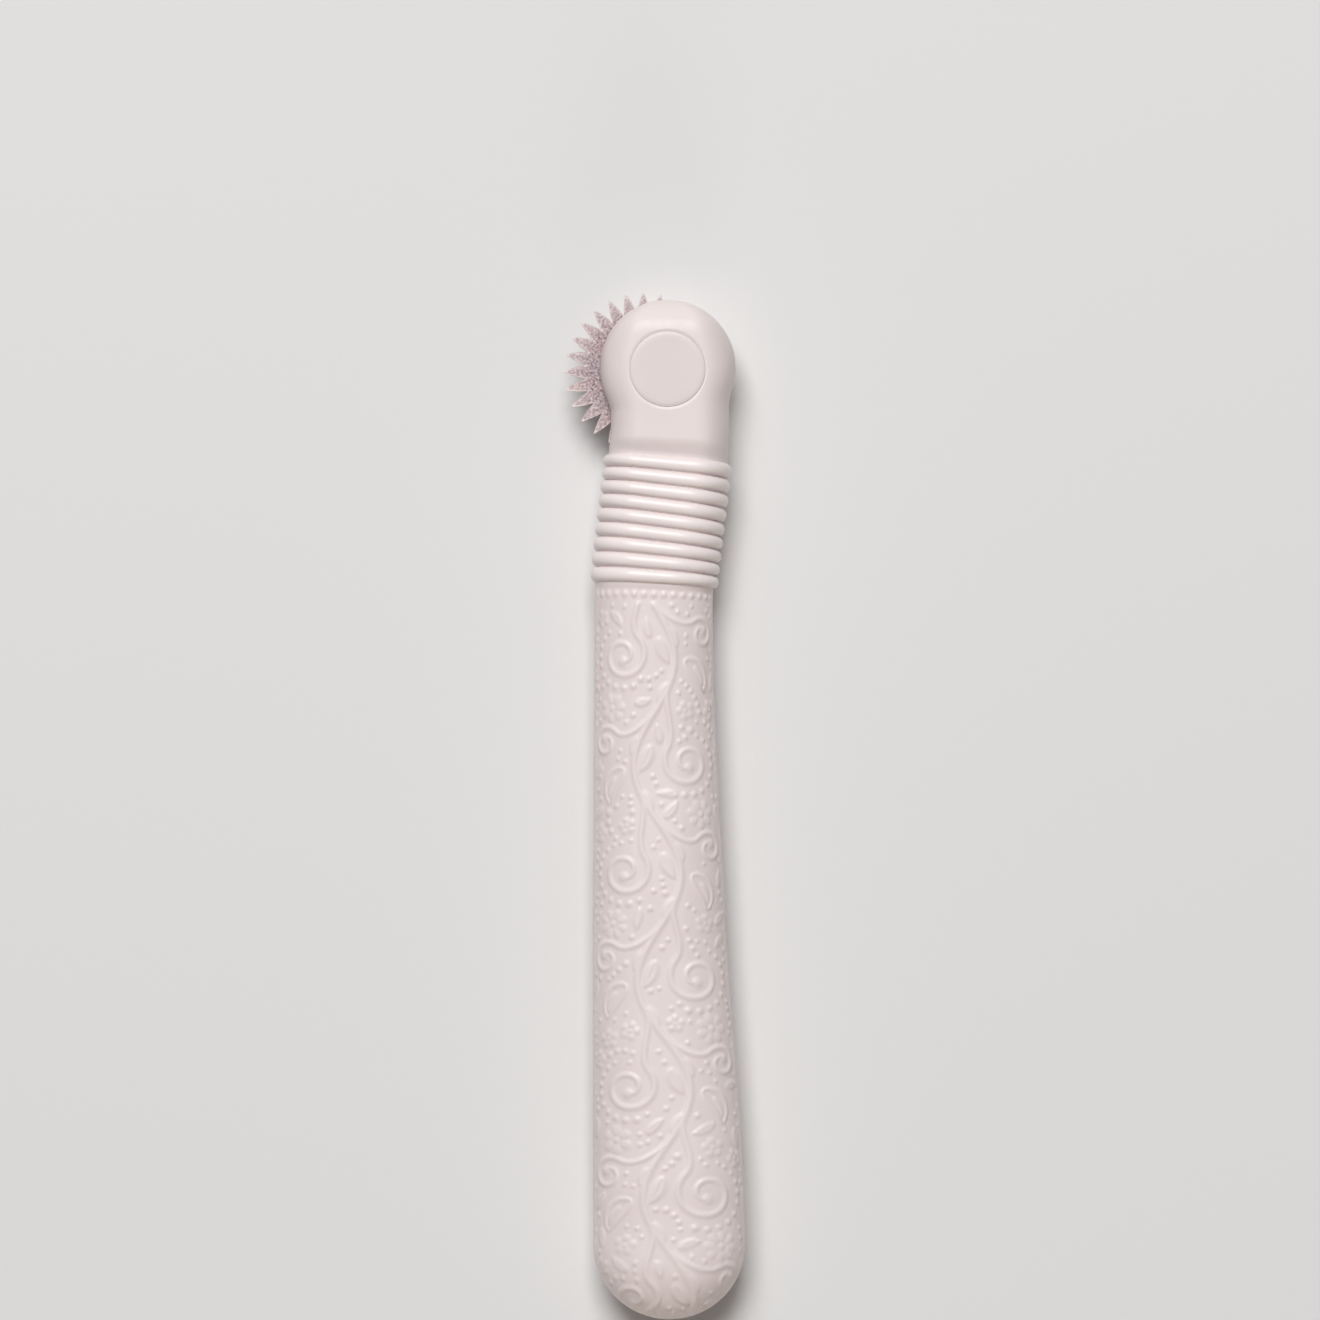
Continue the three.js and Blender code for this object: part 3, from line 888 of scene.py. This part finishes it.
def make_wheel(material):
    """The toothed disc with bevelled edges, one tooth pointing away from the head."""
    angle = np.linspace(0, 2 * math.pi, TOOTH_COUNT * TOOTH_STEPS, endpoint=False)
    away = np.abs((angle * TOOTH_COUNT / (2 * math.pi) + 0.5) % 1 - 0.5) * 2
    tip_share = TOOTH_TIP * TOOTH_COUNT / (2 * math.pi * WHEEL_RADIUS)
    flank = np.clip((away - tip_share) / (1 - tip_share), 0, 1)
    outline = WHEEL_RADIUS - TOOTH_HEIGHT * flank
    lean = math.atan2(math.pi * WHEEL_RADIUS / TOOTH_COUNT, TOOTH_HEIGHT)
    inset = TOOTH_BEVEL / math.sin(lean)
    below_teeth = WHEEL_RADIUS - TOOTH_HEIGHT - inset - WHEEL_RIM
    half = WHEEL_THICKNESS / 2
    front = [
        (outline, half - TOOTH_BEVEL, 1),
        (outline - inset, half, 1),
        (outline - inset - WEAR_AND_GLINT_FADE, half, TOOTH_WEAR_AND_GLINT),
        (below_teeth, half, 0),
        (WHEEL_BORE + BORE_CHAMFER, half, 0),
        (WHEEL_BORE, half - BORE_CHAMFER, 0),
    ]
    rear = [(radius, -height, wear_and_glint) for radius, height, wear_and_glint in reversed(front)]
    levels = rear + front + rear[:1]
    turned = math.pi + angle
    rings = [ring_at((AXLE_X, AXLE_Y), radius, height, turned) for radius, height, wear_and_glint in levels]
    mesh = closed_mesh("toothed_wheel", to_metres(np.array(rings), 1))
    # The edges' mark paints them paler: partly wear of the plating, partly a painted highlight on the
    # bevels
    mark(mesh, "wear_and_glint", np.repeat([float(wear_and_glint) for radius, height, wear_and_glint in levels], len(angle)))
    clean_up(mesh, WHEEL_SHARP)
    add_piece("toothed_wheel", mesh, "wheel", "marking_wheel", material)


# Materials

class Finish:
    """A material under construction: a shader and noise in the object's own coordinates."""

    def __init__(self, name):
        self.material = bpy.data.materials.new(name)
        self.material.use_nodes = True
        self.nodes = self.material.node_tree.nodes
        self.shader = self.nodes["Principled BSDF"]
        self.coordinates = self.nodes.new("ShaderNodeTexCoord")

    def link(self, source, target):
        """Joins an output to an input."""
        self.material.node_tree.links.new(source, target)

    def noise(self, feature, detail):
        """Noise whose features are of the given size in millimetres."""
        node = self.nodes.new("ShaderNodeTexNoise")
        node.inputs["Scale"].default_value = 1 / (feature * MM)
        node.inputs["Detail"].default_value = detail
        self.link(self.coordinates.outputs["Object"], node.inputs["Vector"])
        return node.outputs["Fac"]

    def rings(self, pitch):
        """Rings about the axle, a given pitch in millimetres apart."""
        centred = self.nodes.new("ShaderNodeMapping")
        centred.inputs["Location"].default_value = (-AXLE_X * MM, -AXLE_Y * MM, 0)
        self.link(self.coordinates.outputs["Object"], centred.inputs["Vector"])
        node = self.nodes.new("ShaderNodeTexWave")
        node.wave_type = "RINGS"
        node.rings_direction = "Z"
        node.inputs["Scale"].default_value = WAVE_LENGTH / (pitch * MM)
        self.link(centred.outputs["Vector"], node.inputs["Vector"])
        return node.outputs["Fac"]

    def spread(self, source, low, high, start=0.3, end=0.7):
        """A number that follows a source, from low to high."""
        node = self.nodes.new("ShaderNodeMapRange")
        node.inputs["From Min"].default_value = start
        node.inputs["From Max"].default_value = end
        node.inputs["To Min"].default_value = low
        node.inputs["To Max"].default_value = high
        self.link(source, node.inputs["Value"])
        return node.outputs["Result"]

    def ramp(self, source, low, high, start=0.3, end=0.7):
        """A colour that follows a source, from low to high."""
        node = self.nodes.new("ShaderNodeValToRGB")
        for element, place, colour in zip(node.color_ramp.elements, (start, end), (low, high)):
            element.position = place
            element.color = (*colour, 1)
        self.link(source, node.inputs["Fac"])
        return node.outputs["Color"]

    def share_of(self, mark_name):
        """What a mark on the mesh says."""
        node = self.nodes.new("ShaderNodeAttribute")
        node.attribute_name = mark_name
        return node.outputs["Fac"]

    def tint(self, mark_name, colour, tone, way="MULTIPLY"):
        """A colour changed by a tone, as far as a mark on the mesh says."""
        node = self.nodes.new("ShaderNodeMixRGB")
        node.blend_type = way
        self.link(self.share_of(mark_name), node.inputs["Fac"])
        self.link(colour, node.inputs["Color1"])
        node.inputs["Color2"].default_value = (*tone, 1)
        return node.outputs["Color"]

    def shifted(self, mark_name, value, change):
        """A number changed by an amount, as far as a mark on the mesh says."""
        node = self.nodes.new("ShaderNodeMath")
        node.operation = "MULTIPLY_ADD"
        self.link(self.share_of(mark_name), node.inputs[0])
        node.inputs[1].default_value = change
        self.link(value, node.inputs[2])
        return node.outputs["Value"]

    def filtered(self, colour, through):
        """A colour seen through another."""
        node = self.nodes.new("ShaderNodeMixRGB")
        node.blend_type = "MULTIPLY"
        node.inputs["Fac"].default_value = 1
        self.link(colour, node.inputs["Color1"])
        self.link(through, node.inputs["Color2"])
        return node.outputs["Color"]

    def bump(self, *layers):
        """Bumps from (source, height in millimetres) layers, one on top of another."""
        below = None
        for source, height in layers:
            node = self.nodes.new("ShaderNodeBump")
            node.inputs["Strength"].default_value = 1
            node.inputs["Distance"].default_value = height * MM
            self.link(source, node.inputs["Height"])
            if below:
                self.link(below, node.inputs["Normal"])
            below = node.outputs["Normal"]
        self.link(below, self.shader.inputs["Normal"])


def moulded_plastic(name, deep, pale):
    """Satin plastic with a fine moulded grain, with painted shade that makes the ornament's ground a
    little deeper in colour.

    The ridges are smoother than the rest and painted paler, a painted highlight for the bright lines along
    them.
    """
    finish = Finish(name)
    colour = finish.ramp(finish.noise(feature=9, detail=3), deep, pale)
    # Painted shade in the ornament's ground
    colour = finish.tint("ground", colour, GROUND_PAINTED_SHADE)
    # Painted highlight on the ridges' crests
    colour = finish.tint("crest", colour, CREST_PAINTED_HIGHLIGHT)
    finish.link(colour, finish.shader.inputs["Base Color"])
    roughness = finish.spread(finish.noise(feature=0.8, detail=4), low=0.4, high=0.5)
    roughness = finish.shifted("crest", roughness, CREST_POLISH)
    finish.link(roughness, finish.shader.inputs["Roughness"])
    waviness = finish.noise(feature=5, detail=2)
    grain = finish.noise(feature=0.22, detail=3)
    finish.bump((waviness, 0.02), (grain, 0.004))
    return finish.material


def plated_steel(name):
    """Grainy plating whose cast drifts from lilac to pink, painted paler along the edges of the teeth:
    partly wear, partly a painted highlight on the bevels.
    """
    finish = Finish(name)
    colour = finish.ramp(finish.noise(feature=0.32, detail=5), PLATING_DARK, PLATING_PALE)
    cast = finish.ramp(finish.noise(feature=4, detail=2), PLATING_LILAC, PLATING_PINK)
    # Paler along the teeth's edges: partly wear, partly a painted highlight on the bevels
    colour = finish.tint("wear_and_glint", finish.filtered(colour, cast), PLATING_WEAR_AND_GLINT, "MIX")
    finish.link(colour, finish.shader.inputs["Base Color"])
    finish.shader.inputs["Metallic"].default_value = 1
    roughness = finish.spread(finish.noise(feature=0.35, detail=4), low=0.3, high=0.55)
    finish.link(roughness, finish.shader.inputs["Roughness"])
    grain = finish.noise(feature=0.2, detail=4)
    finish.bump((grain, 0.02))
    return finish.material


def turned_metal(name, dark, pale):
    """Metal from a lathe: fine rings about the axle with a little tarnish."""
    finish = Finish(name)
    colour = finish.ramp(finish.noise(feature=0.9, detail=4), dark, pale)
    finish.link(colour, finish.shader.inputs["Base Color"])
    finish.shader.inputs["Metallic"].default_value = 1
    roughness = finish.spread(finish.noise(feature=0.5, detail=3), low=0.24, high=0.4)
    finish.link(roughness, finish.shader.inputs["Roughness"])
    rings = finish.rings(pitch=0.2)
    grain = finish.noise(feature=0.15, detail=2)
    finish.bump((rings, 0.006), (grain, 0.003))
    return finish.material


def floor_paper(name):
    """Plain pale paper."""
    finish = Finish(name)
    finish.shader.inputs["Base Color"].default_value = (*FLOOR_TONE, 1)
    finish.shader.inputs["Roughness"].default_value = 0.9
    grain = finish.noise(feature=0.6, detail=3)
    finish.bump((grain, 0.01))
    return finish.material


# Floor, light and camera

def add_floor():
    """The square of paper that the object lies on."""
    mesh = bpy.data.meshes.new("floor")
    reach = FLOOR_SIZE / 2
    corners = [(-reach, -reach, 0), (reach, -reach, 0), (reach, reach, 0), (-reach, reach, 0)]
    mesh.from_pydata(corners, [], [(0, 1, 2, 3)])
    mesh.materials.append(floor_paper("floor_paper"))
    floor = bpy.data.objects.new("floor", mesh)
    bpy.context.scene.collection.objects.link(floor)


def add_light(name, place, size, power, colour):
    """A square soft light that faces the middle of the view."""
    light = bpy.data.lights.new(name, "AREA")
    light.size = size
    light.energy = power
    light.color = colour
    lamp = bpy.data.objects.new(name, light)
    lamp.location = VIEW_CENTRE + Vector(place)
    lamp.rotation_euler = (-Vector(place)).to_track_quat("-Z", "Y").to_euler()
    bpy.context.scene.collection.objects.link(lamp)


def add_world():
    """A world that lights the object dimly but looks bright, seen directly or in gloss or glass."""
    world = bpy.data.worlds.new("studio")
    world.use_nodes = True
    nodes = world.node_tree.nodes
    links = world.node_tree.links
    rays = nodes.new("ShaderNodeLightPath")
    seen = rays.outputs["Is Camera Ray"]
    for kind in ("Is Glossy Ray", "Is Transmission Ray"):
        either = nodes.new("ShaderNodeMath")
        links.new(seen, either.inputs[0])
        links.new(rays.outputs[kind], either.inputs[1])
        seen = either.outputs["Value"]
    strength = nodes.new("ShaderNodeMapRange")
    strength.inputs["To Min"].default_value = AMBIENT
    strength.inputs["To Max"].default_value = 1
    links.new(seen, strength.inputs["Value"])
    background = nodes["Background"]
    background.inputs["Color"].default_value = (*WORLD_TONE, 1)
    links.new(strength.outputs["Result"], background.inputs["Strength"])
    bpy.context.scene.world = world


def add_camera():
    """A camera above the object that leans a little towards the tail."""
    camera_data = bpy.data.cameras.new("camera")
    camera_data.sensor_width = SENSOR
    camera_data.lens = SENSOR * CAMERA_DISTANCE / VIEW_WIDTH
    camera = bpy.data.objects.new("camera", camera_data)
    towards_camera = Vector((0, -math.cos(CAMERA_ELEVATION), math.sin(CAMERA_ELEVATION)))
    camera.location = VIEW_CENTRE + CAMERA_DISTANCE * towards_camera
    camera.rotation_euler = (math.pi / 2 - CAMERA_ELEVATION, 0, 0)
    bpy.context.scene.collection.objects.link(camera)
    bpy.context.scene.camera = camera


# The whole scene

shell_plastic = moulded_plastic("shell_plastic", SHELL_DEEP, SHELL_PALE)
cap_plastic = moulded_plastic("cap_plastic", CAP_DEEP, CAP_PALE)
grid = shell_grid()
make_shell("front", 1, grid, shell_plastic)
make_shell("rear", -1, grid, shell_plastic)
make_cap("front", 1, cap_plastic)
make_cap("rear", -1, cap_plastic)
make_wheel(plated_steel("wheel_steel"))

axle_steel = turned_metal("axle_steel", STEEL_DARK, STEEL_PALE)
bush_brass = turned_metal("bush_brass", BRASS_DARK, BRASS_PALE)
for name in ("axle_pin", "front_washer", "rear_washer"):
    frame["nodes"][name].material_slots[0].material = axle_steel
frame["nodes"]["wheel_bush"].material_slots[0].material = bush_brass

add_floor()
add_light("key", place=(-0.22, 1.14, 1.98), size=1.25, power=52, colour=(1, 0.995, 0.99))
add_light("low", place=(0.1, -1.2, 0.25), size=0.4, power=2.5, colour=(1, 0.84, 0.66))
add_world()
add_camera()
bpy.context.scene.view_settings.view_transform = "Standard"
